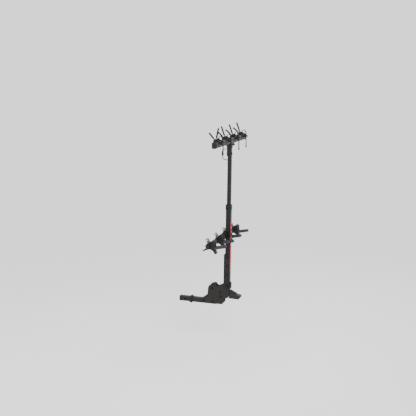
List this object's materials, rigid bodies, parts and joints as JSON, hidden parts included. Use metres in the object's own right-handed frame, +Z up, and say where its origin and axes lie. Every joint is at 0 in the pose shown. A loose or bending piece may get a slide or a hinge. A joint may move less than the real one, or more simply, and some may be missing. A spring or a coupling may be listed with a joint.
{
  "type": "hitch mounted bike rack",
  "caption": "Upright bike rack for a hitch receiver: tilting two-stage mast, top beam with fork hooks, lower beam with wheel cradles and ratchet straps.",
  "frame": {"origin": "centre of the hitch pin hole, midway across the square tongue", "axes": "+X rearward, away from the vehicle, +Y to the vehicle's right along the pin hole, +Z up"},
  "size_m": [0.6563, 1.044, 1.8447],
  "materials": {
    "base_paint": "satin textured powder coat",
    "mast_paint": "satin textured powder coat",
    "hook_paint": "satin powder coat",
    "black_plastic": "fine grain",
    "black_rubber": "matt",
    "hook_rubber": "satin",
    "strap_plastic": "satin",
    "buckle_plastic": "satin",
    "cable_sheath": "smooth vinyl over steel rope",
    "red_reflector": "moulded prisms",
    "zinc_steel": "dark zinc",
    "bronze": "sintered"
  },
  "bodies": {
    "base": {"tongue_tube": "base_paint", "tongue_plug": "black_plastic", "tongue_collar": "black_plastic", "side_plate_left": "base_paint", "side_plate_right": "base_paint", "base_spacers": "zinc_steel", "base_bolts": "zinc_steel", "base_cross_plate": "base_paint", "travel_bumper": "black_rubber", "pivot_bolt": "zinc_steel", "pedal_bolt": "zinc_steel"},
    "foot_pedal": {"foot_pedal": "base_paint", "pedal_tread": "black_rubber", "latch_tooth": "zinc_steel", "pedal_bush": "bronze", "pedal_spring": "zinc_steel"},
    "lower_mast": {"lower_mast_tube": "mast_paint", "mast_channel": "mast_paint", "channel_spacers": "zinc_steel", "channel_bolts": "zinc_steel", "pivot_block": "mast_paint", "pivot_bushes": "black_plastic", "rear_pad": "black_rubber", "mast_collar": "black_plastic", "collar_screws": "zinc_steel", "reflectors": "red_reflector"},
    "upper_mast": {"upper_mast_tube": "mast_paint", "mast_glides": "black_plastic", "head_bracket": "mast_paint", "head_bolts": "zinc_steel", "top_beam": "mast_paint", "top_beam_caps": "black_plastic", "hook_saddles": "mast_paint", "prong_sleeves": "hook_rubber", "strap_buttons": "zinc_steel", "fork_hook_1": "hook_paint", "fork_hook_2": "hook_paint", "fork_hook_3": "hook_paint", "fork_hook_4": "hook_paint", "retaining_straps": "black_rubber", "lock_cable": "cable_sheath", "cable_grommets": "black_rubber"},
    "wheel_carrier": {"carrier_slider": "mast_paint", "beam_u_bolts": "zinc_steel", "carrier_screws": "zinc_steel", "wheel_beam": "mast_paint", "wheel_beam_caps": "black_plastic", "wheel_cradle_1": "black_plastic", "wheel_cradle_2": "black_plastic", "wheel_cradle_3": "black_plastic", "wheel_cradle_4": "black_plastic", "wheel_straps": "strap_plastic", "buckle_bases": "buckle_plastic", "buckle_pins": "zinc_steel"},
    "buckle_lever_1": {"buckle_lever_1": "buckle_plastic"},
    "buckle_lever_2": {"buckle_lever_2": "buckle_plastic"},
    "buckle_lever_3": {"buckle_lever_3": "buckle_plastic"},
    "buckle_lever_4": {"buckle_lever_4": "buckle_plastic"}
  },
  "joints": [
    {"name": "mast_tilt", "type": "hinge", "parent": "base", "child": "lower_mast", "pos_m": [0.448, 0, 0.178], "axis": [0, 1, 0], "range_deg": [0, 65]},
    {"name": "pedal_press", "type": "hinge", "parent": "base", "child": "foot_pedal", "pos_m": [0.378, 0, 0.106], "axis": [0, 1, 0], "range_deg": [0, 8], "stiffness_Nm_per_rad": 18, "springref_deg": -9.17},
    {"name": "mast_extension", "type": "slide", "parent": "lower_mast", "child": "upper_mast", "axis": [0, 0, 1], "range_m": [-0.1, 0.1]},
    {"name": "wheel_beam_height", "type": "slide", "parent": "lower_mast", "child": "wheel_carrier", "axis": [0, 0, 1], "range_m": [-0.12, 0.2]},
    {"name": "buckle_lever_1", "type": "hinge", "parent": "wheel_carrier", "child": "buckle_lever_1", "pos_m": [0.368, -0.405, 0.716], "axis": [0, -1, 0], "range_deg": [0, 50]},
    {"name": "buckle_lever_2", "type": "hinge", "parent": "wheel_carrier", "child": "buckle_lever_2", "pos_m": [0.368, -0.135, 0.716], "axis": [0, -1, 0], "range_deg": [0, 50]},
    {"name": "buckle_lever_3", "type": "hinge", "parent": "wheel_carrier", "child": "buckle_lever_3", "pos_m": [0.368, 0.135, 0.716], "axis": [0, -1, 0], "range_deg": [0, 50]},
    {"name": "buckle_lever_4", "type": "hinge", "parent": "wheel_carrier", "child": "buckle_lever_4", "pos_m": [0.368, 0.405, 0.716], "axis": [0, -1, 0], "range_deg": [0, 50]}
  ]
}
